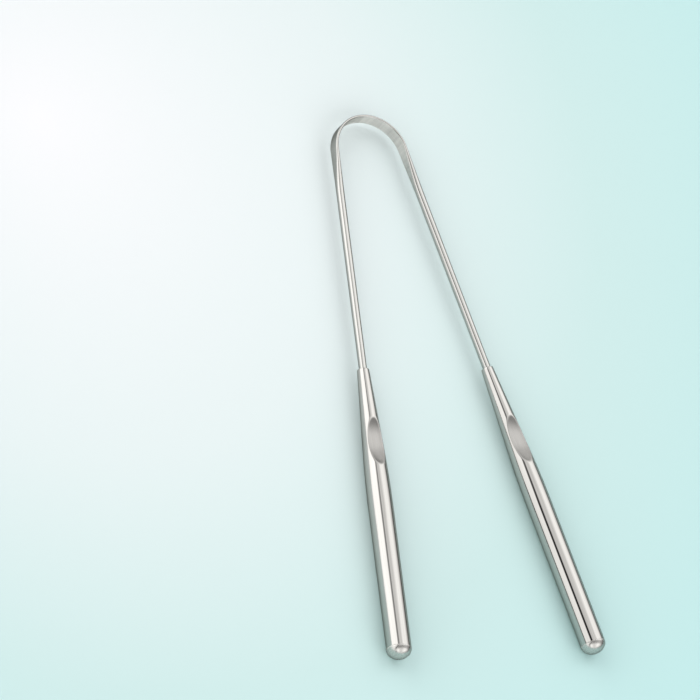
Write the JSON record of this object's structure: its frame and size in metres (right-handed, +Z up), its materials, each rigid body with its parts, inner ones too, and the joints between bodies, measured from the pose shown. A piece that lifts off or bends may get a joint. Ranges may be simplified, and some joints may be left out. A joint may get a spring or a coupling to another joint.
{
  "type": "tongue scraper",
  "caption": "U-shaped stainless steel tongue scraper: a springy wire loop rolled flat at the crown, its ends held in tapered hollow handles with thumb dents.",
  "frame": {"origin": "middle of the part's outline, on the surface that it lies flat on", "axes": "+X across the loop, +Y from the handles to the crown, +Z up out of the loop's plane, on the side of the thumb dents"},
  "size_m": [0.064, 0.1527, 0.0065],
  "materials": {
    "blade_steel": "stainless wire rolled flat, faintly brushed along the band",
    "wire_steel": "bright drawn stainless wire, polished",
    "handle_steel": "bright polished stainless tube, satin in the thumb dent",
    "cap_steel": "bright polished stainless"
  },
  "bodies": {
    "blade": {"scraper_blade": "blade_steel"},
    "left_side": {"left_arm": "wire_steel", "left_handle": "handle_steel", "left_end_cap": "cap_steel"},
    "right_side": {"right_arm": "wire_steel", "right_handle": "handle_steel", "right_end_cap": "cap_steel"}
  },
  "joints": [
    {"name": "left_flex", "type": "hinge", "parent": "blade", "child": "left_side", "pos_m": [-0.01205, 0.05307, 0.00325], "axis": [0, 0, 1], "range_deg": [-3, 6], "stiffness_Nm_per_rad": 1.2},
    {"name": "right_flex", "type": "hinge", "parent": "blade", "child": "right_side", "pos_m": [0.01205, 0.05307, 0.00325], "axis": [0, 0, -1], "range_deg": [-3, 6], "stiffness_Nm_per_rad": 1.2}
  ]
}
